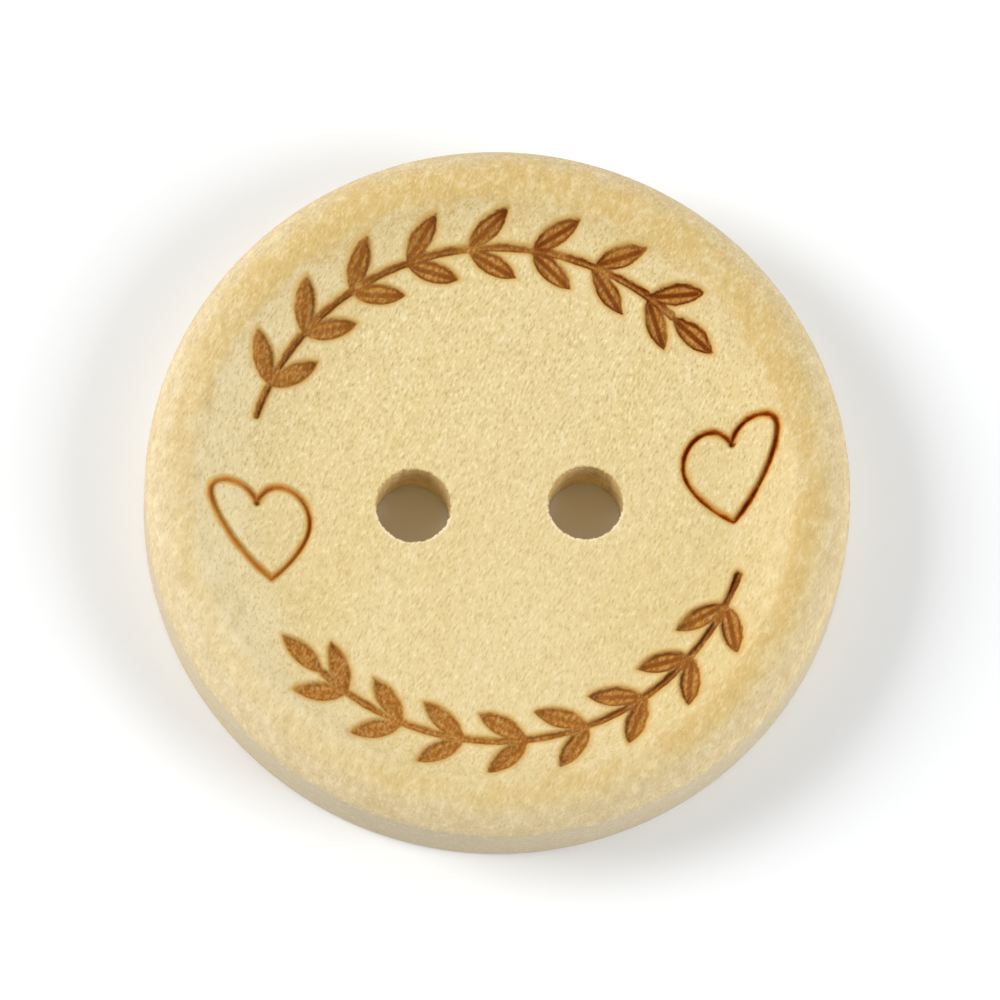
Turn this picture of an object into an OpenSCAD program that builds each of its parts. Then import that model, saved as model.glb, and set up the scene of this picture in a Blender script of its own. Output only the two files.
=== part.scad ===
// A turned wooden sewing button: dished face, broad rounded rim, two holes and burnt-in line ornament.
// Millimetres. The flat back lies on z = 0, the face looks up, the two holes lie along X.

/* [Body] */
// Outer diameter
button_d = 25; // [22:0.5:30]
// Height from the flat back to the crest of the rim
button_t = 3.75; // [3.3:0.05:4.6]
// Thickness of the flat floor round the holes
web_t = 2.5; // [1.8:0.05:2.7]
// From the outer wall in to the crest of the rim
crest_in = 1.55; // [1.1:0.05:2]
// Fall of the rim's outer shoulder from the crest to the top of the wall
shoulder_drop = 1; // [0.5:0.05:1.2]
// Radius of the rim's inner lip
lip_r = 0.8; // [0.4:0.05:1.2]
// From the crest of the rim in to the edge of the flat floor
cove_w = 3.55; // [2.8:0.05:4.2]
// Radius of the back edge
back_r = 0.2; // [0.1:0.05:0.4]

/* [Sewing holes] */
// Diameter of each hole
hole_d = 2.65; // [1.8:0.05:2.9]
// Distance between the hole centres
hole_pitch = 6.1; // [4.6:0.1:7]
// How far the pair is drilled in front of the middle
hole_shift = 0.32; // [0:0.02:0.5]
// How far the pair is drilled to the right of the middle
hole_side = 0.07; // [0:0.01:0.2]
// Bevel worn on both mouths of each hole
hole_bevel = 0.05; // [0.04:0.01:0.15]

/* [Burnt lines] */
// Depth of the burnt lines below the face
burn_depth = 0.2; // [0.1:0.02:0.4]
// Width of the heart outlines
line_w = 0.26; // [0.2:0.02:0.4]
// Width of the stems
stem_w = 0.32; // [0.2:0.02:0.4]

/* [Hearts] */
// Height of a heart from its notch to its tip
heart_h = 2.8; // [2:0.05:3.3]
// From the crest of the rim in to the notches
heart_inset = 2.42; // [2.3:0.02:2.8]
// Bearing of the right heart's notch
heart_a_right = 11.4; // [6:0.2:16]
// Bearing of the left heart's notch
heart_a_left = 181.1; // [176:0.1:186]
// Lean of the left heart
heart_lean = 9.5; // [0:0.5:16]

/* [Leaf sprigs] */
// From the crest of the rim in to the stems
sprig_inset = 1.95; // [1.9:0.05:2.6]
// Clear length along the stem's circle from a notch to the upper sprig
notch_gap = 3.25; // [2.4:0.05:4]
// Clear length along the stem's circle from a tip to the lower sprig
tip_gap = 2; // [1:0.05:3]
// Length of a leaf
leaf_l = 2.05; // [1.4:0.05:2.1]
// Width of a leaf
leaf_w = 0.78; // [0.5:0.02:0.9]
// Least length of stem for each pair of leaves
leaf_pitch = 2.2; // [2:0.05:3.2]
// Lean of the leaves off the stem
leaf_lean = 36; // [28:1:40]

/* [Hidden] */
body_r = button_d / 2;
crest_r = body_r - crest_in;
floor_r = crest_r - cove_w;
wall_h = button_t - shoulder_drop;
shoulder_r = (crest_in * crest_in + shoulder_drop * shoulder_drop) / (2 * shoulder_drop);

// cove that leaves the floor level and runs smoothly into the lip
lip_z = button_t - lip_r;
cove_h = button_t - web_t;
cove_r = (cove_w * cove_w + cove_h * (cove_h - 2 * lip_r)) / (2 * cove_h);
touch_x = crest_r - cove_w * lip_r / (cove_r + lip_r);
touch_z = lip_z + (web_t + cove_r - lip_z) * lip_r / (cove_r + lip_r);

heart_ring = crest_r - heart_inset;
heart_turn = heart_h / heart_ring * 180 / PI;
sprig_r = crest_r - sprig_inset;
leaf_arc = (leaf_l * leaf_l + leaf_w * leaf_w) / (4 * leaf_w);
upper_from = heart_a_left - stem_turn(notch_gap);
upper_to = heart_a_right + stem_turn(notch_gap + leaf_l);
lower_from = 360 + heart_a_right - heart_turn - stem_turn(tip_gap);
lower_to = heart_a_left + heart_turn + stem_turn(tip_gap + leaf_l);
over = 1;

// angle taken up by a length along the stem's circle
function stem_turn(l) = l / sprig_r * 180 / PI;

// a point on a cubic curve between ends a and d, drawn towards b and c
function curve(a, b, c, d, t) =
    pow(1 - t, 3) * a + 3 * pow(1 - t, 2) * t * b + 3 * (1 - t) * t * t * c + pow(t, 3) * d;

// the heart's middle line, notch at the origin and tip one unit below it
heart_notch = [0, 0];
heart_out = [0.57, 0.14];
heart_tip = [0, -1];
heart_in = [-0.62, -0.25];
heart_step = 1 / 9;
heart_line = concat(
    [for (i = [0:8]) curve(heart_notch, [0.05, 0.37], [0.59, 0.49], heart_out, i * heart_step)],
    [for (i = [0:8]) curve(heart_out, [0.55, -0.16], [0.3, -0.66], heart_tip, i * heart_step)],
    [for (i = [0:8]) curve(heart_tip, [-0.23, -0.87], [-0.65, -0.59], heart_in, i * heart_step)],
    [for (i = [0:8]) curve(heart_in, [-0.6, 0.09], [-0.21, 0.35], heart_notch, i * heart_step)]
);

function unit(v) = v / norm(v);
function left_of(v) = [-v[1], v[0]];

// a closed line moved sideways by d, with mitred corners
function beside(line, d) = [
    for (i = [0:len(line) - 1])
        let(
            n = len(line),
            back = unit(line[i] - line[(i + n - 1) % n]),
            ahead = unit(line[(i + 1) % n] - line[i]),
            mean = unit(left_of(back) + left_of(ahead))
        )
        line[i] + mean * d / (mean * left_of(ahead))
];

// one heart outline, its notch at the origin
module heart() {
    middle = heart_h * heart_line;
    difference() {
        polygon(beside(middle, line_w / 2));
        polygon(beside(middle, -line_w / 2));
    }
}

// a leaf from the origin along +X
module leaf() {
    intersection() {
        translate([leaf_l / 2, leaf_w / 2 - leaf_arc])
            circle(r = leaf_arc, $fn = 96);
        translate([leaf_l / 2, leaf_arc - leaf_w / 2])
            circle(r = leaf_arc, $fn = 96);
    }
}

// a stem running clockwise between two bearings, with paired leaves and a leaf at its end
module sprig(from, to) {
    pairs = floor((from - to) / stem_turn(leaf_pitch));
    step = (from - to) / pairs;
    middle = (from + to) / 2;
    intersection() {
        difference() {
            circle(r = sprig_r + stem_w / 2, $fn = 180);
            circle(r = sprig_r - stem_w / 2, $fn = 180);
        }
        polygon([
            [0, 0],
            button_d * [cos(from), sin(from)],
            button_d * [cos(middle), sin(middle)],
            button_d * [cos(to), sin(to)]
        ]);
    }
    for (i = [0:pairs - 1])
        rotate(from - (i + 0.5) * step)
            translate([sprig_r, 0]) {
                rotate(leaf_lean - 90)
                    leaf();
                rotate(-leaf_lean - 90)
                    leaf();
            }
    rotate(to)
        translate([sprig_r, 0])
            rotate(-90)
                leaf();
}

// everything burnt into the face, seen from above
module ornament() {
    rotate(heart_a_right)
        translate([heart_ring, 0])
            rotate(-heart_a_right)
                heart();
    rotate(heart_a_left)
        translate([heart_ring, 0])
            rotate(heart_lean - heart_a_left)
                mirror([1, 0])
                    heart();
    sprig(upper_from, upper_to);
    sprig(lower_from, lower_to);
}

// half section of the open side of the face: all that lies above floor, cove and lip
module dish_outline() {
    open_h = button_t + over - web_t;
    translate([0, web_t])
        square([floor_r, open_h]);
    intersection() {
        translate([floor_r, web_t + cove_r])
            circle(r = cove_r, $fn = 360);
        translate([floor_r, web_t - over])
            square([touch_x - floor_r, open_h + over]);
    }
    difference() {
        translate([touch_x, touch_z])
            square([crest_r - touch_x, button_t + over - touch_z]);
        translate([crest_r, lip_z])
            circle(r = lip_r, $fn = 96);
    }
}

// half section of the turned blank
module body_outline() {
    difference() {
        union() {
            square([body_r - back_r, wall_h]);
            translate([0, back_r])
                square([body_r, wall_h - back_r]);
            translate([body_r - back_r, back_r])
                circle(r = back_r, $fn = 48);
            square([crest_r, button_t]);
            intersection() {
                translate([crest_r, button_t - shoulder_r])
                    circle(r = shoulder_r, $fn = 180);
                square([body_r, button_t + over]);
            }
        }
        dish_outline();
    }
}

// a hole with both mouths bevelled
module hole() {
    translate([0, 0, -over])
        cylinder(d = hole_d, h = button_t + 2 * over, $fn = 72);
    translate([0, 0, -over])
        cylinder(r1 = hole_d / 2 + hole_bevel + over, r2 = hole_d / 2, h = hole_bevel + over, $fn = 72);
    translate([0, 0, web_t - hole_bevel])
        cylinder(r1 = hole_d / 2, r2 = hole_d / 2 + hole_bevel + over, h = hole_bevel + over, $fn = 72);
}

module button() {
    color([0.9, 0.8, 0.58])
        difference() {
            rotate_extrude($fn = 180)
                body_outline();
            for (side = [-1, 1])
                translate([hole_side + side * hole_pitch / 2, -hole_shift, 0])
                    hole();
            intersection() {
                translate([0, 0, web_t - over])
                    linear_extrude(button_t)
                        ornament();
                translate([0, 0, -burn_depth])
                    rotate_extrude($fn = 180)
                        dish_outline();
            }
        }
}

button();
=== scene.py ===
"""A turned wooden sewing button with hearts and leaf sprigs burnt into its dished face."""
import math

import bpy
import numpy as np
from bpy.props import FloatProperty, FloatVectorProperty, IntProperty, PointerProperty
from mathutils import Matrix, Vector


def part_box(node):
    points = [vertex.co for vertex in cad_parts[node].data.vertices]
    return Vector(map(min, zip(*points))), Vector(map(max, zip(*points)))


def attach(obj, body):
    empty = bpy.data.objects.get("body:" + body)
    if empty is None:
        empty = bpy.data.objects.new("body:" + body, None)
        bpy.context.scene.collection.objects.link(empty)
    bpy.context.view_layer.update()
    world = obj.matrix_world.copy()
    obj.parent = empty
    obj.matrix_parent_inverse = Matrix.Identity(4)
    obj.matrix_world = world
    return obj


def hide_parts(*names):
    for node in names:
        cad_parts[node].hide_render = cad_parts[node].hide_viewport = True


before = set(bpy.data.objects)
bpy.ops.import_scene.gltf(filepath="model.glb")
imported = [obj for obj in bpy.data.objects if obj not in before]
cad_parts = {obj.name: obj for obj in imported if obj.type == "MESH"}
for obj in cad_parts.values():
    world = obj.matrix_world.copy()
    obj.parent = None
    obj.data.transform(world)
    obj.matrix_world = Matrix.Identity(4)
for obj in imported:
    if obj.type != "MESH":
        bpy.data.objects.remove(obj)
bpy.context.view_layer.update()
NODE_LOW, NODE_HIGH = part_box("button")

bl_info = {
    "name": "Wooden Button",
    "version": (1, 0, 0),
    "blender": (4, 5, 0),
    "location": "3D View > Sidebar > Button",
    "description": "Turns, drills, burns and stages a two-hole wooden sewing button",
    "category": "Object",
}

MM = 0.001
PIECE = "button_wood"
FAR = 1.0
GRAIN_BEARING = math.radians(66)
WARM_PATCH = (7.2, -5.0)


def length(name, description, millimetres):
    """A length property with its default in millimetres."""
    return FloatProperty(
        name=name,
        description=description,
        default=millimetres * MM,
        precision=5,
        unit="LENGTH",
        subtype="DISTANCE",
    )


def angle(name, description, degrees):
    """An angle property with its default in degrees."""
    return FloatProperty(
        name=name, description=description, default=math.radians(degrees), unit="ROTATION", subtype="ANGLE"
    )


def colour(name, description, value):
    """A linear colour property."""
    return FloatVectorProperty(
        name=name, description=description, default=value, size=3, subtype="COLOR", min=0, max=1
    )


def power(name, description, watts):
    """A lamp power property."""
    return FloatProperty(name=name, description=description, default=watts, unit="POWER", subtype="POWER")


class ButtonSizes(bpy.types.PropertyGroup):
    """Sizes of the turned body and its holes."""

    body_radius: length("Body radius", "Outer radius of the wall", (NODE_HIGH[0] - NODE_LOW[0]) / 2 / MM)
    body_height: length("Body height", "From the back to the rim's crest", (NODE_HIGH[2] - NODE_LOW[2]) / MM)
    web: length("Floor thickness", "Thickness of the flat floor round the holes", 2.5)
    crest_in: length("Crest inset", "From the outer wall in to the crest of the rim", 1.55)
    shoulder_drop: length("Shoulder drop", "Fall of the rim from its crest to the top of the wall", 1.0)
    lip_round: length("Lip round", "Radius of the rim's inner lip", 0.8)
    cove_width: length("Cove width", "From the crest of the rim in to the edge of the flat floor", 3.55)
    back_round: length("Back round", "Radius of the back edge", 0.2)
    back_ring: length("Back ring", "Width of the flat ring inside the back edge", 0.3)
    step: length("Floor step", "Step between the rings of the flat floor", 0.07)
    step_reach: length("Floor rings", "How far in from its edge the flat floor has rings", 1.3)
    hole_radius: length("Hole radius", "Radius of each sewing hole", 1.325)
    hole_pitch: length("Hole pitch", "Distance between the hole centres", 6.1)
    hole_shift: length("Hole shift", "How far the pair is drilled in front of the middle", 0.32)
    hole_side: length("Hole side", "How far the pair is drilled to the right of the middle", 0.07)
    hole_bevel: length("Hole bevel", "Bevel worn on the mouths of the holes", 0.05)
    ragged: length("Ragged lips", "How far the lips of the holes stray from a true circle", 0.016)
    turns: IntProperty(name="Turning steps", description="Steps of the turned body round its axis", default=720)


class OrnamentSizes(bpy.types.PropertyGroup):
    """Sizes of the burnt hearts and leaf sprigs."""

    burn_depth: length("Burn depth", "Depth of the burnt lines", 0.2)
    line_width: length("Line width", "Width of the heart lines", 0.26)
    stem_width: length("Stem width", "Width of the stems", 0.32)
    heart_height: length("Heart height", "Height of a heart from notch to tip", 2.8)
    heart_inset: length("Heart inset", "From the crest of the rim in to the notches", 2.42)
    right_bearing: angle("Right heart", "Bearing of the right heart's notch", 11.4)
    left_bearing: angle("Left heart", "Bearing of the left heart's notch", 181.1)
    heart_lean: angle("Heart lean", "Lean of the left heart", 9.5)
    sprig_inset: length("Sprig inset", "From the crest of the rim in to the stems", 1.95)
    notch_gap: length("Notch gap", "Clear length from a notch to the upper sprig", 3.25)
    tip_gap: length("Tip gap", "Clear length from a tip to the lower sprig", 2.0)
    leaf_length: length("Leaf length", "Length of a leaf", 2.05)
    leaf_width: length("Leaf width", "Width of a leaf", 0.78)
    leaf_pitch: length("Leaf pitch", "Least length of stem for each pair of leaves", 2.2)
    leaf_lean: angle("Leaf lean", "Lean of the leaves off the stem", 36)


class WoodColours(bpy.types.PropertyGroup):
    """Colours of the wood and of the burns."""

    pale: colour("Pale wood", "Colour of the open face", (0.742, 0.598, 0.315))
    straw: colour("Straw wood", "Colour of the darker grain bands", (0.72, 0.565, 0.262))
    golden: colour("Golden rim", "Colour of the burnished ring on the rim", (0.68, 0.475, 0.172))
    # painted shade: the shoulder colour is darker than the face to stand in for the shade on the rim's steep
    # outer slope
    shoulder: colour("Pale shoulder", "Colour of the rim outside its crest", (0.66, 0.51, 0.285))
    # painted shade: a tint that multiplies the cove and rim darker and less yellow
    rim_shade: colour("Shaded rim", "Tint of the rim against the face", (0.955, 0.96, 0.99))
    # painted shade: the wall colour is the raw end grain's greyer tone, darkened further to stand in for the
    # wall's shade
    dull_shade: colour("Dull wall", "Colour of the raw wall", (0.50, 0.42, 0.292))
    # painted light: the hole walls' raw end grain is lightened to stand in for light falling on the walls
    bore_lit_raw: colour("Raw hole", "Colour of the raw hole walls", (0.93, 0.73, 0.37))
    # painted shade: the dark patches in the holes stand partly for stain and partly for shade in the holes
    bore_shade_stain: colour("Dark hole", "Colour of the dark patches in the holes", (0.48, 0.29, 0.085))
    freckle: colour("Freckle", "Colour of the rare reddish freckles", (0.69, 0.47, 0.27))
    fleck_light: colour("Light fleck", "Colour of the light flecks", (0.88, 0.77, 0.49))
    fleck_dark: colour("Dark fleck", "Colour of the dark flecks", (0.49, 0.355, 0.145))
    # painted highlight: this pale colour is laid on the front lips of the holes and, as painted light, on the
    # left side of the cove
    lip: colour("Frayed lip", "Colour of the frayed lips of the holes", (0.90, 0.82, 0.62))
    halo: colour("Halo", "Colour of the tan glow beside a burn", (0.63, 0.40, 0.11))
    line: colour("Line", "Colour of the heart lines beside their core", (0.68, 0.33, 0.07))
    ember: colour("Ember", "Colour of the core of a heart line", (0.46, 0.12, 0.01))
    scorch: colour("Scorch", "Colour of the lighter burns", (0.55, 0.27, 0.065))
    burn: colour("Burn", "Colour of the deeper burns", (0.37, 0.14, 0.02))
    ash: colour("Ash", "Colour of the pale specks in a burn", (0.62, 0.43, 0.23))
    char: colour("Char", "Colour of the darkest burns", (0.17, 0.028, 0.001))


class StageSettings(bpy.types.PropertyGroup):
    """Floor, light and camera."""

    floor_size: length("Floor size", "Side of the square floor", 6000)
    floor_tone: colour("Floor tone", "Colour of the floor", (0.946, 0.956, 0.966))
    left_power: power("Left power", "Power of the left softbox", 8.0)
    right_power: power("Right power", "Power of the right softbox", 6.0)
    left_bearing: angle("Left bearing", "Bearing of the left softbox", 167)
    right_bearing: angle("Right bearing", "Bearing of the right softbox", -19)
    box_rise: angle("Softbox rise", "Height of the softboxes above the floor", 31)
    box_away: length("Softbox distance", "Distance of the softboxes from the button", 1000)
    box_width: length("Softbox width", "Width of the softboxes", 500)
    box_height: length("Softbox height", "Height of the softboxes themselves", 620)
    left_tint: colour("Left tint", "Colour of the left softbox", (1.0, 0.99, 0.97))
    right_tint: colour("Right tint", "Colour of the right softbox", (0.97, 0.985, 1.0))
    fill_strength: FloatProperty(name="Fill", description="Strength of the soft light all round", default=0.84)
    fill_gap: FloatProperty(name="Fill gap", description="Share of the fill missing near the camera", default=0.9)
    elevation: angle("Elevation", "Height of the camera above the floor", 76)
    bearing: angle("Bearing", "Bearing of the camera round the button", -98)
    roll: angle("Roll", "Turn of the camera about its own axis", 6.82)
    distance: length("Distance", "Distance of the camera from the button", 700)
    aim_right: length("Aim right", "Shift of the camera to the right, square to its view", 0.0921)
    aim_up: length("Aim up", "Shift of the camera upwards, square to its view", -0.1735)
    scale: FloatProperty(name="Image scale", description="Pixels per millimetre at the button", default=28.24)
    image_side: IntProperty(name="Image side", description="Pixels along each side of the image", default=1000)


# The turned body


def crest_radius(sizes):
    """Distance of the rim's crest from the axis."""
    return sizes.body_radius - sizes.crest_in


def arc_points(centre, radius, start, stop, count):
    """Points along a round of the half section, angles in radians."""
    angles = np.linspace(start, stop, count)
    return [(centre[0] + radius * math.cos(a), centre[1] + radius * math.sin(a)) for a in angles]


def half_section(sizes):
    """The half section as a line of points, from the back's edge round to the floor's edge."""
    wall, top = sizes.body_radius, sizes.body_height
    crest = crest_radius(sizes)
    edge = crest - sizes.cove_width
    drop = sizes.shoulder_drop
    shoulder = (sizes.crest_in**2 + drop**2) / (2 * drop)
    lip = (crest, top - sizes.lip_round)
    rise = top - sizes.web
    cove = (sizes.cove_width**2 + rise * (rise - 2 * sizes.lip_round)) / (2 * rise)
    meet = math.atan2(sizes.web + cove - lip[1], edge - crest)
    points = [(wall - sizes.back_round - sizes.back_ring, 0)]
    points += arc_points((wall - sizes.back_round, sizes.back_round), sizes.back_round, -math.pi / 2, 0, 6)
    points += [(wall, z) for z in np.linspace(sizes.back_round, top - drop, 9)[1:-1]]
    start = math.acos(sizes.crest_in / shoulder)
    points += arc_points((crest, top - shoulder), shoulder, start, math.pi / 2, 24)
    points += arc_points(lip, sizes.lip_round, math.pi / 2, meet, 12)[1:]
    points += arc_points((edge, sizes.web + cove), cove, meet - math.pi, -math.pi / 2, 50)[1:]
    rings = np.arange(edge - sizes.step, edge - sizes.step_reach, -sizes.step)
    points += [(radius, sizes.web) for radius in rings]
    return points


def deselect_all():
    """Leaves object mode with nothing selected."""
    if bpy.context.object and bpy.context.object.mode != "OBJECT":
        bpy.ops.object.mode_set(mode="OBJECT")
    bpy.ops.object.select_all(action="DESELECT")


def turn_on_lathe(name, section, turns):
    """Draws the half section by extruding a point and spins it round the Z axis."""
    deselect_all()
    bpy.ops.mesh.primitive_plane_add(size=MM, location=(0, 0, 0))
    piece = bpy.context.object
    piece.name = name
    piece.data.name = name
    bpy.ops.object.mode_set(mode="EDIT")
    bpy.ops.mesh.merge(type="CENTER")
    bpy.ops.transform.translate(value=(section[0][0], 0, section[0][1]))
    for here, there in zip(section, section[1:]):
        move = (there[0] - here[0], 0, there[1] - here[1])
        bpy.ops.mesh.extrude_vertices_move(TRANSFORM_OT_translate={"value": move})
    bpy.ops.mesh.select_all(action="SELECT")
    bpy.ops.mesh.spin(steps=turns, angle=math.tau, center=(0, 0, 0), axis=(0, 0, 1))
    bpy.ops.mesh.select_all(action="SELECT")
    bpy.ops.mesh.remove_doubles(threshold=0.002 * MM)
    bpy.ops.mesh.fill_holes(sides=0)
    bpy.ops.mesh.select_all(action="SELECT")
    bpy.ops.mesh.normals_make_consistent(inside=False)
    bpy.ops.object.mode_set(mode="OBJECT")
    return piece


class BUTTON_OT_turn(bpy.types.Operator):
    """Turn the dished blank on its axis"""

    bl_idname = "button.turn"
    bl_label = "Turn Blank"

    def execute(self, context):
        sizes = context.scene.button_sizes
        piece = turn_on_lathe(PIECE, half_section(sizes), sizes.turns)
        if len(piece.data.polygons) < sizes.turns:
            raise RuntimeError("The blank has too few faces")
        return {"FINISHED"}


# The sewing holes


def drill(sizes, x, y, seed):
    """A drill body with flared ends, its lips a little ragged."""
    deselect_all()
    straight = sizes.web - 2 * sizes.hole_bevel
    bpy.ops.mesh.primitive_cylinder_add(
        vertices=128, radius=sizes.hole_radius, depth=straight, location=(x, y, sizes.web / 2)
    )
    tool = bpy.context.object
    bpy.ops.object.transform_apply(location=True, rotation=True, scale=True)
    flare = 1 + (sizes.hole_bevel + MM) / sizes.hole_radius
    for side in (1, -1):
        bpy.ops.object.mode_set(mode="EDIT")
        bpy.ops.mesh.select_mode(type="FACE")
        bpy.ops.mesh.select_all(action="DESELECT")
        bpy.ops.object.mode_set(mode="OBJECT")
        for face in tool.data.polygons:
            face.select = face.normal.z * side > 0.9
        bpy.ops.object.mode_set(mode="EDIT")
        rise = side * (sizes.hole_bevel + MM)
        bpy.ops.mesh.extrude_region_move(TRANSFORM_OT_translate={"value": (0, 0, rise)})
        bpy.ops.transform.resize(value=(flare, flare, 1), center_override=(x, y, 0))
    bpy.ops.object.mode_set(mode="OBJECT")
    rng = np.random.default_rng(seed)
    for vertex in tool.data.vertices:
        out = vertex.co - Vector((x, y, vertex.co.z))
        vertex.co += out.normalized() * float(rng.normal(0, sizes.ragged))
    return tool


class BUTTON_OT_drill(bpy.types.Operator):
    """Drill the two sewing holes"""

    bl_idname = "button.drill"
    bl_label = "Drill Holes"

    def execute(self, context):
        sizes = context.scene.button_sizes
        piece = bpy.data.objects[PIECE]
        before = len(piece.data.polygons)
        for seed, side in enumerate((-1, 1)):
            tool = drill(sizes, sizes.hole_side + side * sizes.hole_pitch / 2, -sizes.hole_shift, seed)
            hole = piece.modifiers.new("Sewing hole", "BOOLEAN")
            hole.operation = "DIFFERENCE"
            hole.solver = "EXACT"
            hole.object = tool
            deselect_all()
            context.view_layer.objects.active = piece
            bpy.ops.object.modifier_apply(modifier=hole.name)
            bpy.data.objects.remove(tool)
        if len(piece.data.polygons) <= before:
            raise RuntimeError("The holes were not cut")
        piece.select_set(True)
        bpy.ops.object.shade_smooth_by_angle(angle=math.radians(40))
        return {"FINISHED"}


# The burnt ornament


def cubic(ends, pulls, steps):
    """Points of a cubic curve between two ends, drawn towards two pulls, without its last end."""
    t = np.linspace(0, 1, steps, endpoint=False)[:, None]
    a, d = np.array(ends)
    b, c = np.array(pulls)
    return (1 - t) ** 3 * a + 3 * (1 - t) ** 2 * t * b + 3 * (1 - t) * t**2 * c + t**3 * d


def heart_curve():
    """Middle line of a heart, its notch at the origin and its tip one unit below."""
    notch = (0, 0)
    outer = (0.57, 0.14)
    tip = (0, -1)
    inner = (-0.62, -0.25)
    return np.concatenate([
        cubic((notch, outer), ((0.05, 0.37), (0.59, 0.49)), 40),
        cubic((outer, tip), ((0.55, -0.16), (0.3, -0.66)), 40),
        cubic((tip, inner), ((-0.23, -0.87), (-0.65, -0.59)), 40),
        cubic((inner, notch), ((-0.6, 0.09), (-0.21, 0.35)), 40),
    ])


def turned(points, bearing):
    """Plan points turned about the middle."""
    c, s = math.cos(bearing), math.sin(bearing)
    return np.stack([c * points[:, 0] - s * points[:, 1], s * points[:, 0] + c * points[:, 1]], axis=1)


def heart_lines(sizes, ring):
    """The closed middle lines of both hearts, their notches on a ring, in metres."""
    curve = heart_curve() * sizes.heart_height
    lines = []
    for bearing, lean, mirror in ((sizes.right_bearing, 0, 1), (sizes.left_bearing, sizes.heart_lean, -1)):
        notch = ring * np.array([math.cos(bearing), math.sin(bearing)])
        lines.append(turned(curve * [mirror, 1], lean) + notch)
    return lines


def signed_distance(points, line):
    """Distance of plan points from a closed line, negative inside it."""
    best = np.full(len(points), FAR)
    inside = np.zeros(len(points), dtype=bool)
    for a, b in zip(line, np.roll(line, -1, axis=0)):
        along = b - a
        share = np.clip((points - a) @ along / (along @ along), 0, 1)
        best = np.minimum(best, np.linalg.norm(points - a - share[:, None] * along, axis=1))
        crosses = (a[1] > points[:, 1]) != (b[1] > points[:, 1])
        rise = b[1] - a[1] if b[1] != a[1] else 1e-12
        inside ^= crosses & (points[:, 0] < a[0] + (points[:, 1] - a[1]) * along[0] / rise)
    return np.where(inside, -best, best)


def leaf_distance(points, sizes, base, heading):
    """Distances of plan points from the outline of a leaf, negative inside it, and from its vein."""
    half_long, half_wide = sizes.leaf_length / 2, sizes.leaf_width / 2
    local = np.abs(turned(points - base, -heading) - [half_long, 0])
    arc = (half_long**2 + half_wide**2) / (2 * half_wide)
    shift = arc - half_wide
    beyond = (local[:, 0] - half_long) * shift > local[:, 1] * half_long
    to_tip = np.hypot(local[:, 0] - half_long, local[:, 1])
    to_arc = np.hypot(local[:, 0], local[:, 1] + shift) - arc
    outline = np.where(beyond, to_tip, to_arc)
    vein = np.hypot(np.maximum(local[:, 0] - 0.7 * half_long, 0), local[:, 1])
    return outline, np.where(outline < 0, vein, FAR)


def sprig_ends(sizes, heart_ring, ring):
    """Bearings at which the stems of the upper and the lower sprig start and end, running clockwise."""
    heart = sizes.heart_height / heart_ring
    upper = (
        sizes.left_bearing - sizes.notch_gap / ring,
        sizes.right_bearing + (sizes.notch_gap + sizes.leaf_length) / ring,
    )
    lower = (
        math.tau + sizes.right_bearing - heart - sizes.tip_gap / ring,
        sizes.left_bearing + heart + (sizes.tip_gap + sizes.leaf_length) / ring,
    )
    return upper, lower


def sprig_distance(points, sizes, ring, start, stop):
    """Distances of plan points from the outline of a sprig, negative inside it, and from its leaves' veins."""
    middle = (start + stop) / 2
    local = turned(points, -middle)
    reach = (start - stop) / 2
    held = np.clip(np.arctan2(local[:, 1], local[:, 0]), -reach, reach)
    on_stem = ring * np.stack([np.cos(held), np.sin(held)], axis=1)
    edge = np.linalg.norm(local - on_stem, axis=1) - sizes.stem_width / 2
    vein = np.full(len(points), FAR)
    pairs = math.floor((start - stop) * ring / sizes.leaf_pitch)
    leaves = [(stop, 0)]
    for i in range(pairs):
        place = start - (i + 0.5) * (start - stop) / pairs
        leaves += [(place, sizes.leaf_lean), (place, -sizes.leaf_lean)]
    for place, lean in leaves:
        base = ring * np.array([math.cos(place), math.sin(place)])
        leaf_edge, leaf_vein = leaf_distance(points, sizes, base, place + lean - math.pi / 2)
        edge = np.minimum(edge, leaf_edge)
        vein = np.minimum(vein, leaf_vein)
    return edge, vein


def store(mesh, name, values):
    """Keeps one number for each vertex of a mesh."""
    layer = mesh.attributes.new(name=name, type="FLOAT", domain="POINT")
    layer.data.foreach_set("value", values.astype(np.float32))


def ease(values, low, high):
    """Smooth step from 0 at low to 1 at high."""
    t = np.clip((values - low) / (high - low), 0, 1)
    return t * t * (3 - 2 * t)


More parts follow.
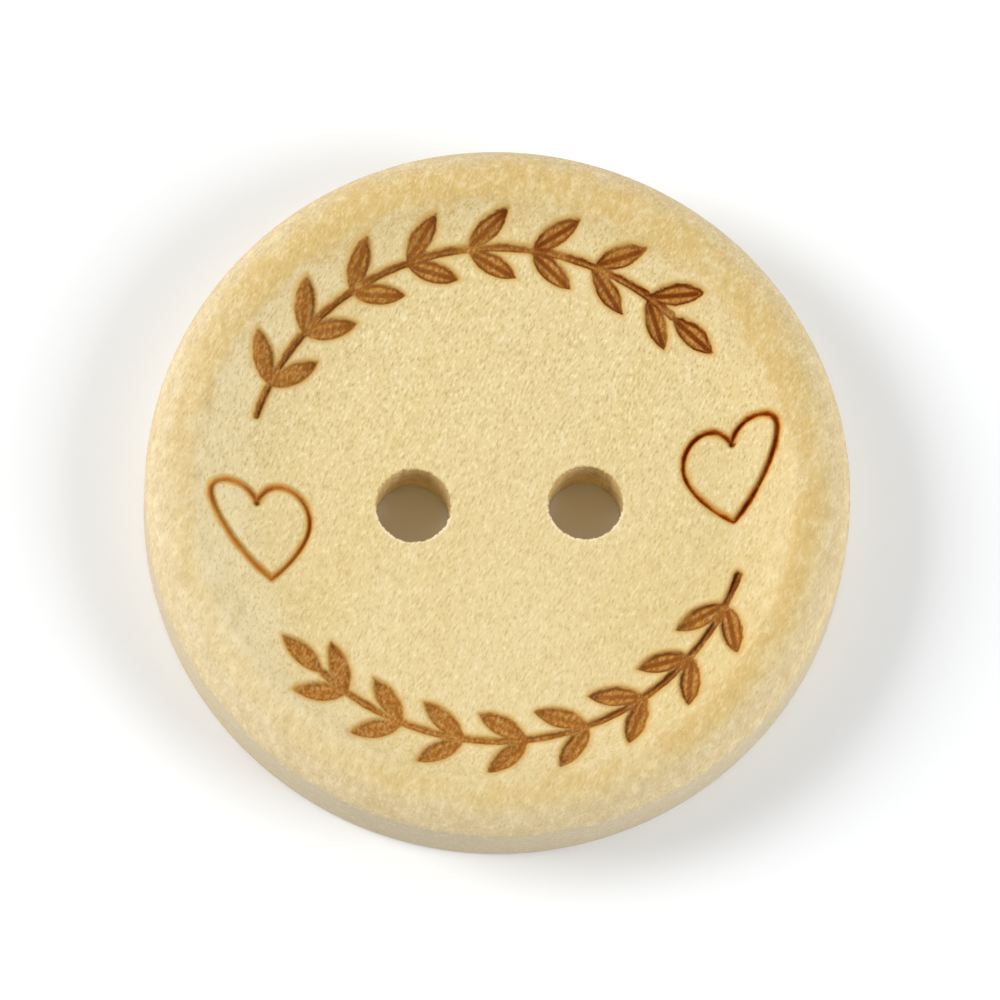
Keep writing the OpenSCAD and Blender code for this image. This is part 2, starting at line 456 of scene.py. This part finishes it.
class BUTTON_OT_burn(bpy.types.Operator):
    """Burn the hearts and leaf sprigs into the face"""

    bl_idname = "button.burn"
    bl_label = "Burn Ornament"

    def execute(self, context):
        sizes = context.scene.ornament_sizes
        body = context.scene.button_sizes
        piece = bpy.data.objects[PIECE]
        mesh = piece.data
        flat = np.empty(len(mesh.vertices) * 3)
        mesh.vertices.foreach_get("co", flat)
        spots = flat.reshape(-1, 3)
        plan = spots[:, :2]
        radius = np.linalg.norm(plan, axis=1)
        crest = crest_radius(body)
        heart_ring = crest - sizes.heart_inset
        stem_ring = crest - sizes.sprig_inset
        dish = (radius > heart_ring - sizes.heart_height) & (radius < crest)
        face = dish & (spots[:, 2] > body.web - 0.01 * MM)
        heart = np.full(len(spots), FAR)
        dwell = np.full(len(spots), FAR)
        sprig = np.full(len(spots), FAR)
        vein = np.full(len(spots), FAR)
        for line in heart_lines(sizes, heart_ring):
            near = face & (np.linalg.norm(plan - line.mean(axis=0), axis=1) < sizes.heart_height)
            heart[near] = signed_distance(plan[near], line)
            dwell[near] = np.linalg.norm(plan[near] - line[0], axis=1)
        for start, stop in sprig_ends(sizes, heart_ring, stem_ring):
            edges, veins = sprig_distance(plan[face], sizes, stem_ring, start, stop)
            sprig[face] = np.minimum(sprig[face], edges)
            vein[face] = np.minimum(vein[face], veins)
        store(mesh, "heart_line", heart / MM)
        store(mesh, "heart_dwell", dwell / MM)
        store(mesh, "sprig_edge", sprig / MM)
        store(mesh, "leaf_vein", vein / MM)
        half = sizes.line_width / 2
        groove = ease(half + 0.02 * MM - np.abs(heart), 0, 0.12 * MM)
        groove = np.maximum(groove, ease(0.02 * MM - sprig, 0, 0.1 * MM))
        deep = piece.vertex_groups.new(name="burnt")
        for index in np.nonzero(groove > 0.001)[0]:
            deep.add([int(index)], float(groove[index]), "REPLACE")
        sink = piece.modifiers.new("Burnt groove", "DISPLACE")
        sink.direction = "Z"
        sink.mid_level = 0
        sink.strength = -sizes.burn_depth
        sink.vertex_group = deep.name
        deselect_all()
        context.view_layer.objects.active = piece
        bpy.ops.object.modifier_apply(modifier=sink.name)
        if not np.any(groove > 0.9):
            raise RuntimeError("No line was burnt")
        return {"FINISHED"}


# The wood


class Tree:
    """Adds and joins the nodes of one material or world."""

    def __init__(self, owner):
        owner.use_nodes = True
        self.tree = owner.node_tree
        self.tree.nodes.clear()

    def add(self, kind, inputs=None, **settings):
        """A node with its settings, and its inputs as values or as other nodes' outputs."""
        made = self.tree.nodes.new(kind)
        for name, value in settings.items():
            setattr(made, name, value)
        for key, value in (inputs or {}).items():
            if isinstance(value, bpy.types.NodeSocket):
                self.tree.links.new(value, made.inputs[key])
            else:
                made.inputs[key].default_value = value
        return made

    def maths(self, operation, a, b=0.0):
        """One sum."""
        return self.add("ShaderNodeMath", {0: a, 1: b}, operation=operation).outputs[0]

    def plus(self, first, *others):
        """All values added up."""
        for other in others:
            first = self.maths("ADD", first, other)
        return first

    def times(self, first, *others):
        """All values multiplied."""
        for other in others:
            first = self.maths("MULTIPLY", first, other)
        return first

    def minus(self, a, b):
        """The second value taken from the first."""
        return self.maths("SUBTRACT", a, b)

    def larger(self, a, b):
        """The larger of two values."""
        return self.maths("MAXIMUM", a, b)

    def left_after(self, share, amount):
        """What is left of 1 after an amount of a share."""
        return self.minus(1.0, self.times(share, amount))

    def clamp(self, value):
        """A value held between 0 and 1."""
        return self.add("ShaderNodeClamp", {"Value": value}).outputs[0]

    def smooth(self, value, low, high):
        """0 at low to 1 at high, eased; low may be above high."""
        inputs = {"Value": value, "From Min": low, "From Max": high}
        return self.add("ShaderNodeMapRange", inputs, interpolation_type="SMOOTHSTEP").outputs[0]

    def paint(self, under, over, share, way="MIX"):
        """One colour laid over another by a share."""
        inputs = {0: share, 6: opaque(under), 7: opaque(over)}
        return self.add("ShaderNodeMix", inputs, data_type="RGBA", blend_type=way, clamp_factor=True).outputs[2]

    def noise(self, vector, scale, detail, roughness):
        """Cloudy noise from 0 to 1."""
        inputs = {"Vector": vector, "Scale": scale, "Detail": detail, "Roughness": roughness}
        return self.add("ShaderNodeTexNoise", inputs).outputs[0]

    def length(self, x, y):
        """Length of a plan vector."""
        flat = self.add("ShaderNodeCombineXYZ", {0: x, 1: y}).outputs[0]
        return self.add("ShaderNodeVectorMath", {0: flat}, operation="LENGTH").outputs["Value"]

    def attribute(self, name):
        """A number kept on the mesh."""
        return self.add("ShaderNodeAttribute", attribute_name=name).outputs["Fac"]

    def place(self, vector, turn=0.0, scale=(1, 1, 1), shift=(0, 0, 0)):
        """Coordinates turned about Z, then scaled and shifted."""
        spun = self.add("ShaderNodeMapping", {"Vector": vector, "Rotation": (0, 0, turn)}).outputs[0]
        return self.add("ShaderNodeMapping", {"Vector": spun, "Scale": scale, "Location": shift}).outputs[0]


def opaque(value):
    """A colour with full alpha, or a node's output as it is."""
    if isinstance(value, bpy.types.NodeSocket):
        return value
    return tuple(value) + (1.0,)


class Spot:
    """Where a point of the wood lies, and the body's own places, all in millimetres."""

    def __init__(self, t, sizes):
        where = t.add("ShaderNodeTexCoord").outputs["Object"]
        self.plan = t.place(where, scale=(1 / MM, 1 / MM, 1 / MM))
        self.grain = t.place(self.plan, turn=-GRAIN_BEARING)
        self.x, self.y, self.height = t.add("ShaderNodeSeparateXYZ", {0: self.plan}).outputs
        self.radius = t.length(self.x, self.y)
        self.crest = crest_radius(sizes) / MM
        self.wall = sizes.body_radius / MM
        self.crease = (sizes.body_height - sizes.shoulder_drop) / MM
        self.web = sizes.web / MM


def bare_wood(t, spot, colours):
    """Pale wood with darker bands, clouds, warm places and rare freckles; the clouds come with it."""
    bands = t.noise(t.place(spot.grain, scale=(0.07, 0.4, 0.4)), 1.0, 3.0, 0.55)
    clouds = t.noise(t.place(spot.grain, scale=(0.45, 0.8, 0.8)), 1.0, 3.0, 0.6)
    wood = t.paint(colours.pale, colours.straw, t.smooth(bands, 0.35, 0.7))
    wood = t.paint(wood, colours.straw, t.times(t.smooth(clouds, 0.45, 0.75), 0.4))
    from_patch = t.length(t.minus(spot.x, WARM_PATCH[0]), t.minus(spot.y, WARM_PATCH[1]))
    warm_band = t.times(t.smooth(t.maths("ABSOLUTE", spot.y), 4.5, 0.5), 0.4)
    wood = t.paint(wood, colours.straw, t.larger(warm_band, t.smooth(from_patch, 6.0, 1.5)))
    freckles = t.noise(t.place(spot.plan, shift=(5, 2, 0)), 1.3, 2.0, 0.5)
    wood = t.paint(wood, colours.freckle, t.times(t.smooth(freckles, 0.68, 0.8), 0.6))
    return wood, clouds


def rim_wood(t, spot, colours, wood):
    """A blotchy golden ring on the rim; outside it a shoulder darkened as painted shade on the steep slope, a
    paler left side as painted light, and the rim and cove multiplied darker and less yellow as painted shade.
    """
    radius, crest = spot.radius, spot.crest
    blotch = t.noise(t.place(spot.plan, shift=(3, 7, 0)), 0.75, 4.0, 0.65)
    rough_radius = t.plus(radius, t.times(t.minus(blotch, 0.5), 1.6))
    lower_left = t.times(t.maths("MINIMUM", t.plus(spot.x, spot.y), 0.0), 0.03)
    inner = t.smooth(t.plus(rough_radius, lower_left), crest - 0.75, crest - 0.2)
    behind = t.times(t.larger(spot.y, 0.0), 0.022)
    lower_right = t.times(t.larger(t.minus(spot.x, spot.y), 0.0), 0.014)
    outer = t.smooth(t.minus(rough_radius, t.minus(behind, lower_right)), crest + 1.2, crest + 0.4)
    patches = t.smooth(t.noise(t.place(spot.plan, shift=(9, 1, 0)), 0.5, 4.0, 0.65), 0.22, 0.52)
    on_face = t.smooth(spot.height, 1.0, 2.4)
    burnish = t.times(inner, outer, patches, t.plus(t.times(lower_left, 1.3), 1.0), on_face)
    # painted shade: the steep shoulder outside the crest is darkened towards the shoulder colour
    wood = t.paint(wood, colours.shoulder, t.times(t.smooth(radius, crest + 0.45, crest + 1.1), 0.7))
    # painted light: the left side of the cove and rim is lightened towards the pale lip colour
    left_light = t.times(t.smooth(spot.x, -3.0, -10.0), t.smooth(radius, 8.2, 9.4))
    left_light = t.times(left_light, t.smooth(radius, spot.wall + 0.4, crest + 0.3))
    wood = t.paint(wood, colours.lip, t.times(left_light, 0.22))
    wood = t.paint(wood, colours.golden, t.times(burnish, 0.95))
    # painted shade: the cove and rim from 9.2 mm out to the crest are multiplied darker and less yellow
    return t.paint(wood, colours.rim_shade, t.smooth(radius, 9.2, crest), "MULTIPLY")


def raw_shaded_wall(t, spot):
    """Share of the wall below the crease, which gets the raw wood's greyer tone and painted shade."""
    low = t.smooth(spot.height, spot.crease + 0.28, spot.crease - 0.12)
    return t.times(low, t.smooth(spot.radius, spot.wall - 0.35, spot.wall - 0.2))


def hole_wood(t, spot, colours, sizes, wood):
    """Raw hole walls lightened as painted light, darker towards the mouth and most in front as stain and painted
    shade, with a painted highlight on the frayed front lips.
    """
    aside = t.maths("ABSOLUTE", t.minus(spot.x, sizes.hole_side / MM))
    aside = t.minus(aside, sizes.hole_pitch / MM / 2)
    ahead = t.plus(spot.y, sizes.hole_shift / MM)
    from_hole = t.minus(t.length(aside, ahead), sizes.hole_radius / MM)
    in_hole = t.times(t.smooth(spot.height, spot.web - 0.01, spot.web - 0.07), t.smooth(from_hole, 0.12, 0.06))
    cloud = t.minus(t.noise(t.place(spot.plan, shift=(2, 8, 4)), 2.2, 4.0, 0.7), 0.5)
    # painted shade: the walls darken towards the mouth and most in front, partly stain and partly shade in the
    # holes
    stain_and_shade = t.smooth(t.plus(spot.height, t.times(cloud, 3.5)), 0.5, 1.9)
    stain_and_shade = t.times(stain_and_shade, t.left_after(t.smooth(ahead, -0.4, 0.8), 0.35))
    wood = t.paint(wood, t.paint(colours.bore_lit_raw, colours.bore_shade_stain, stain_and_shade), in_hole)
    # painted highlight: a pale crescent on the front lips of the holes, where the bevel catches the light; the
    # lips' frayed fibres are real
    lip = t.times(t.smooth(from_hole, 0.13, 0.07), t.smooth(spot.height, spot.web - 0.05, spot.web - 0.01))
    return t.paint(wood, colours.lip, t.times(lip, t.smooth(ahead, 0.4, -0.8), 0.6))


def flecked_wood(t, spot, colours, wood, raw):
    """Light and dark flecks, liveliest at the back, softer on the rim; the fine noise comes with it."""
    fine = t.noise(t.place(spot.grain, scale=(5.0, 11.5, 11.5)), 1.0, 2.0, 0.55)
    soft = t.noise(t.place(spot.grain, scale=(2.0, 3.2, 3.2), shift=(1, 4, 0)), 1.0, 2.0, 0.5)
    on_rim = t.smooth(spot.radius, 8.5, spot.crest)
    lively = t.plus(t.times(t.smooth(spot.y, -3.0, 5.0), 0.2), 0.6)
    light = t.times(lively, t.left_after(on_rim, 0.5))
    dark = t.times(light, t.plus(t.times(on_rim, 0.7), 1.0))
    mottle = t.times(t.plus(t.times(on_rim, 0.12), 0.2), t.left_after(raw, 0.6))
    wood = t.paint(wood, colours.fleck_light, t.times(t.smooth(soft, 0.5, 0.72), mottle))
    wood = t.paint(wood, colours.fleck_dark, t.times(t.smooth(soft, 0.5, 0.28), mottle))
    wood = t.paint(wood, colours.fleck_light, t.times(t.smooth(fine, 0.53, 0.72), light))
    wood = t.paint(wood, colours.fleck_dark, t.times(t.smooth(fine, 0.47, 0.27), dark))
    return wood, fine


def burnt_wood(t, spot, colours, wood):
    """Burns along the ornament, darker towards the right and the back; their share and specks come with it."""
    heart = t.attribute("heart_line")
    drift = t.minus(t.noise(t.place(spot.plan, shift=(4, 4, 0)), 1.6, 1.0, 0.5), 0.5)
    shiver = t.minus(t.noise(spot.plan, 5.0, 2.0, 0.6), 0.5)
    wander = t.plus(t.times(drift, 0.12), t.times(shiver, 0.09))
    from_line = t.plus(t.maths("ABSOLUTE", heart), wander)
    from_core = t.plus(t.maths("ABSOLUTE", t.minus(heart, 0.02)), wander)
    from_edge = t.plus(t.attribute("sprig_edge"), wander)
    speckle = t.noise(t.place(spot.grain, scale=(5, 9, 9), shift=(7, 3, 0)), 1.0, 2.0, 0.6)
    patchy = t.noise(t.place(spot.plan, shift=(8, 5, 0)), 1.1, 2.0, 0.5)
    power = t.plus(t.times(spot.x, 0.042), t.times(spot.y, 0.02), t.times(patchy, 0.7), 0.21)
    power = t.clamp(power)
    halo = t.larger(t.smooth(from_line, 0.26, 0.11), t.smooth(from_edge, 0.2, -0.03))
    wood = t.paint(wood, colours.halo, t.times(halo, 0.9))

    # filled leaves and stems with dark patchy edges and veins
    fill = t.smooth(from_edge, 0.02, -0.1)
    inside = t.paint(colours.scorch, colours.burn, t.smooth(speckle, 0.62, 0.35))
    inside = t.paint(inside, colours.ash, t.times(t.smooth(speckle, 0.58, 0.72), 0.5))
    wood = t.paint(wood, inside, fill)
    edge = t.times(t.smooth(from_edge, 0.0, -0.06), t.smooth(from_edge, -0.19, -0.08))
    edge = t.times(edge, t.smooth(patchy, 0.2, 0.55))
    vein = t.times(t.smooth(t.attribute("leaf_vein"), 0.14, 0.04), 0.95)
    edge = t.times(t.larger(edge, vein), t.smooth(speckle, 0.15, 0.5))
    wood = t.paint(wood, colours.char, t.times(edge, power))

    # heart lines with a dark core and a dot where the burning began
    stroke = t.smooth(from_line, 0.145, 0.06)
    wood = t.paint(wood, colours.line, stroke)
    hot = t.clamp(t.times(power, 1.3))
    wood = t.paint(wood, colours.ember, t.times(t.smooth(from_core, 0.115, 0.04), hot))
    core = t.times(t.smooth(from_core, 0.07, 0.0), power)
    from_dot = t.plus(t.attribute("heart_dwell"), t.times(shiver, 0.2))
    dot = t.times(t.smooth(from_dot, 0.19, 0.04), t.plus(t.times(power, 0.5), 0.5))
    wood = t.paint(wood, colours.char, t.larger(core, dot))
    return wood, t.larger(stroke, fill), speckle


def wood_material(colours, sizes):
    """Pale close-grained wood, golden on the rim, greyer and darker on the wall with painted shade, with painted
    light and shade on the rim and in the holes, burnt along the ornament.
    """
    material = bpy.data.materials.new("pale_turned_wood")
    t = Tree(material)
    spot = Spot(t, sizes)
    wood, clouds = bare_wood(t, spot, colours)
    wood = rim_wood(t, spot, colours, wood)
    raw = raw_shaded_wall(t, spot)
    # painted shade: the wall below the crease gets a greyer, darker colour, partly the raw wood's own tone and
    # partly its shade
    wood = t.paint(wood, colours.dull_shade, t.times(raw, 0.85))
    wood = hole_wood(t, spot, colours, sizes, wood)
    wood, fine = flecked_wood(t, spot, colours, wood, raw)
    wood, burnt, speckle = burnt_wood(t, spot, colours, wood)
    relief = t.plus(fine, t.times(burnt, speckle, 1.5))
    bump = t.add("ShaderNodeBump", {"Height": relief, "Strength": 0.5, "Distance": 0.06 * MM})
    surface = t.add("ShaderNodeBsdfPrincipled", {
        "Base Color": wood,
        "Roughness": t.plus(t.times(clouds, 0.2), 0.48),
        "Specular IOR Level": t.minus(0.22, t.times(burnt, 0.2)),
        "Normal": bump.outputs[0],
    })
    t.add("ShaderNodeOutputMaterial", {"Surface": surface.outputs[0]})
    return material


class BUTTON_OT_finish_wood(bpy.types.Operator):
    """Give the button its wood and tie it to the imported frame"""

    bl_idname = "button.finish_wood"
    bl_label = "Finish Wood"

    def execute(self, context):
        piece = bpy.data.objects[PIECE]
        piece.data.materials.clear()
        piece.data.materials.append(wood_material(context.scene.wood_colours, context.scene.button_sizes))
        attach(piece, "root")
        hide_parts("button")
        return {"FINISHED"}


# The stage


def floor_material(tone):
    """Plain matt white card."""
    material = bpy.data.materials.new("floor_card")
    t = Tree(material)
    surface = t.add("ShaderNodeBsdfPrincipled", {"Base Color": opaque(tone), "Roughness": 0.8})
    t.add("ShaderNodeOutputMaterial", {"Surface": surface.outputs[0]})
    return material


def add_floor(settings):
    """A wide pale floor under the button."""
    deselect_all()
    bpy.ops.mesh.primitive_plane_add(size=settings.floor_size, location=(0, 0, 0))
    floor = bpy.context.object
    floor.name = "floor"
    floor.data.materials.append(floor_material(settings.floor_tone))


def way_to(bearing, elevation):
    """Direction from the button at a bearing round it and a height above the floor."""
    flat = math.cos(elevation)
    return Vector((flat * math.cos(bearing), flat * math.sin(bearing), math.sin(elevation)))


def add_softbox(name, settings, watts, tint, bearing):
    """A softbox at a bearing, facing the button."""
    lamp = bpy.data.lights.new(name, "AREA")
    lamp.shape = "RECTANGLE"
    lamp.size = settings.box_width
    lamp.size_y = settings.box_height
    lamp.energy = watts
    lamp.color = tint
    box = bpy.data.objects.new(name, lamp)
    box.location = way_to(bearing, settings.box_rise) * settings.box_away
    box.rotation_euler = box.location.to_track_quat("Z", "Y").to_euler()
    bpy.context.scene.collection.objects.link(box)


def add_fill(settings):
    """Soft white light all round, weaker where the camera stands."""
    world = bpy.data.worlds.new("studio_fill")
    t = Tree(world)
    way = t.add("ShaderNodeTexCoord").outputs["Generated"]
    ends = {0: way, 1: way_to(settings.bearing, settings.elevation)}
    near = t.add("ShaderNodeVectorMath", ends, operation="DOT_PRODUCT").outputs["Value"]
    gap = t.left_after(t.smooth(near, 0.6, 0.86), settings.fill_gap)
    strength = t.times(gap, settings.fill_strength)
    shade = t.add("ShaderNodeBackground", {"Color": (1, 1, 1, 1), "Strength": strength})
    t.add("ShaderNodeOutputWorld", {"Surface": shade.outputs[0]})
    bpy.context.scene.world = world


def add_camera(settings, focus):
    """A long lens at the photograph's angle, looking at a point of the button."""
    away = way_to(settings.bearing, settings.elevation)
    turn = away.to_track_quat("Z", "Y").to_matrix() @ Matrix.Rotation(settings.roll, 3, "Z")
    slide = turn @ Vector((settings.aim_right, settings.aim_up, 0))
    lens = bpy.data.cameras.new("camera")
    lens.sensor_width = 36
    lens.lens = settings.scale * settings.distance / MM * lens.sensor_width / settings.image_side
    lens.clip_start = 0.01
    camera = bpy.data.objects.new("camera", lens)
    camera.matrix_world = Matrix.Translation(focus + slide + away * settings.distance) @ turn.to_4x4()
    bpy.context.scene.collection.objects.link(camera)
    bpy.context.scene.camera = camera


class BUTTON_OT_stage(bpy.types.Operator):
    """Set up the floor, the light and the camera"""

    bl_idname = "button.stage"
    bl_label = "Set Stage"

    def execute(self, context):
        settings = context.scene.stage_settings
        add_floor(settings)
        left = (settings.left_power, settings.left_tint, settings.left_bearing)
        right = (settings.right_power, settings.right_tint, settings.right_bearing)
        add_softbox("softbox_left", settings, *left)
        add_softbox("softbox_right", settings, *right)
        add_fill(settings)
        add_camera(settings, Vector((0, 0, context.scene.button_sizes.web)))
        context.scene.view_settings.view_transform = "Standard"
        return {"FINISHED"}


class BUTTON_PT_panel(bpy.types.Panel):
    """The button's steps in the sidebar"""

    bl_idname = "BUTTON_PT_panel"
    bl_label = "Wooden Button"
    bl_space_type = "VIEW_3D"
    bl_region_type = "UI"
    bl_category = "Button"

    def draw(self, context):
        for step in STEPS:
            self.layout.operator(step.bl_idname)
        for group in GROUPS:
            box = self.layout.box()
            values = getattr(context.scene, group)
            for name in values.bl_rna.properties.keys():
                if name not in ("rna_type", "name"):
                    box.prop(values, name)


GROUPS = {
    "button_sizes": ButtonSizes,
    "ornament_sizes": OrnamentSizes,
    "wood_colours": WoodColours,
    "stage_settings": StageSettings,
}
STEPS = (BUTTON_OT_turn, BUTTON_OT_drill, BUTTON_OT_burn, BUTTON_OT_finish_wood, BUTTON_OT_stage)


def register():
    """Adds the classes and hangs the property groups on the scene."""
    for made in (*GROUPS.values(), *STEPS, BUTTON_PT_panel):
        bpy.utils.register_class(made)
    for name, group in GROUPS.items():
        setattr(bpy.types.Scene, name, PointerProperty(type=group))


def unregister():
    """Takes them off again."""
    for name in GROUPS:
        delattr(bpy.types.Scene, name)
    for made in reversed((*GROUPS.values(), *STEPS, BUTTON_PT_panel)):
        bpy.utils.unregister_class(made)


def main():
    register()
    bpy.ops.button.turn()
    bpy.ops.button.drill()
    bpy.ops.button.burn()
    bpy.ops.button.finish_wood()
    bpy.ops.button.stage()


if __name__ == "__main__":
    main()
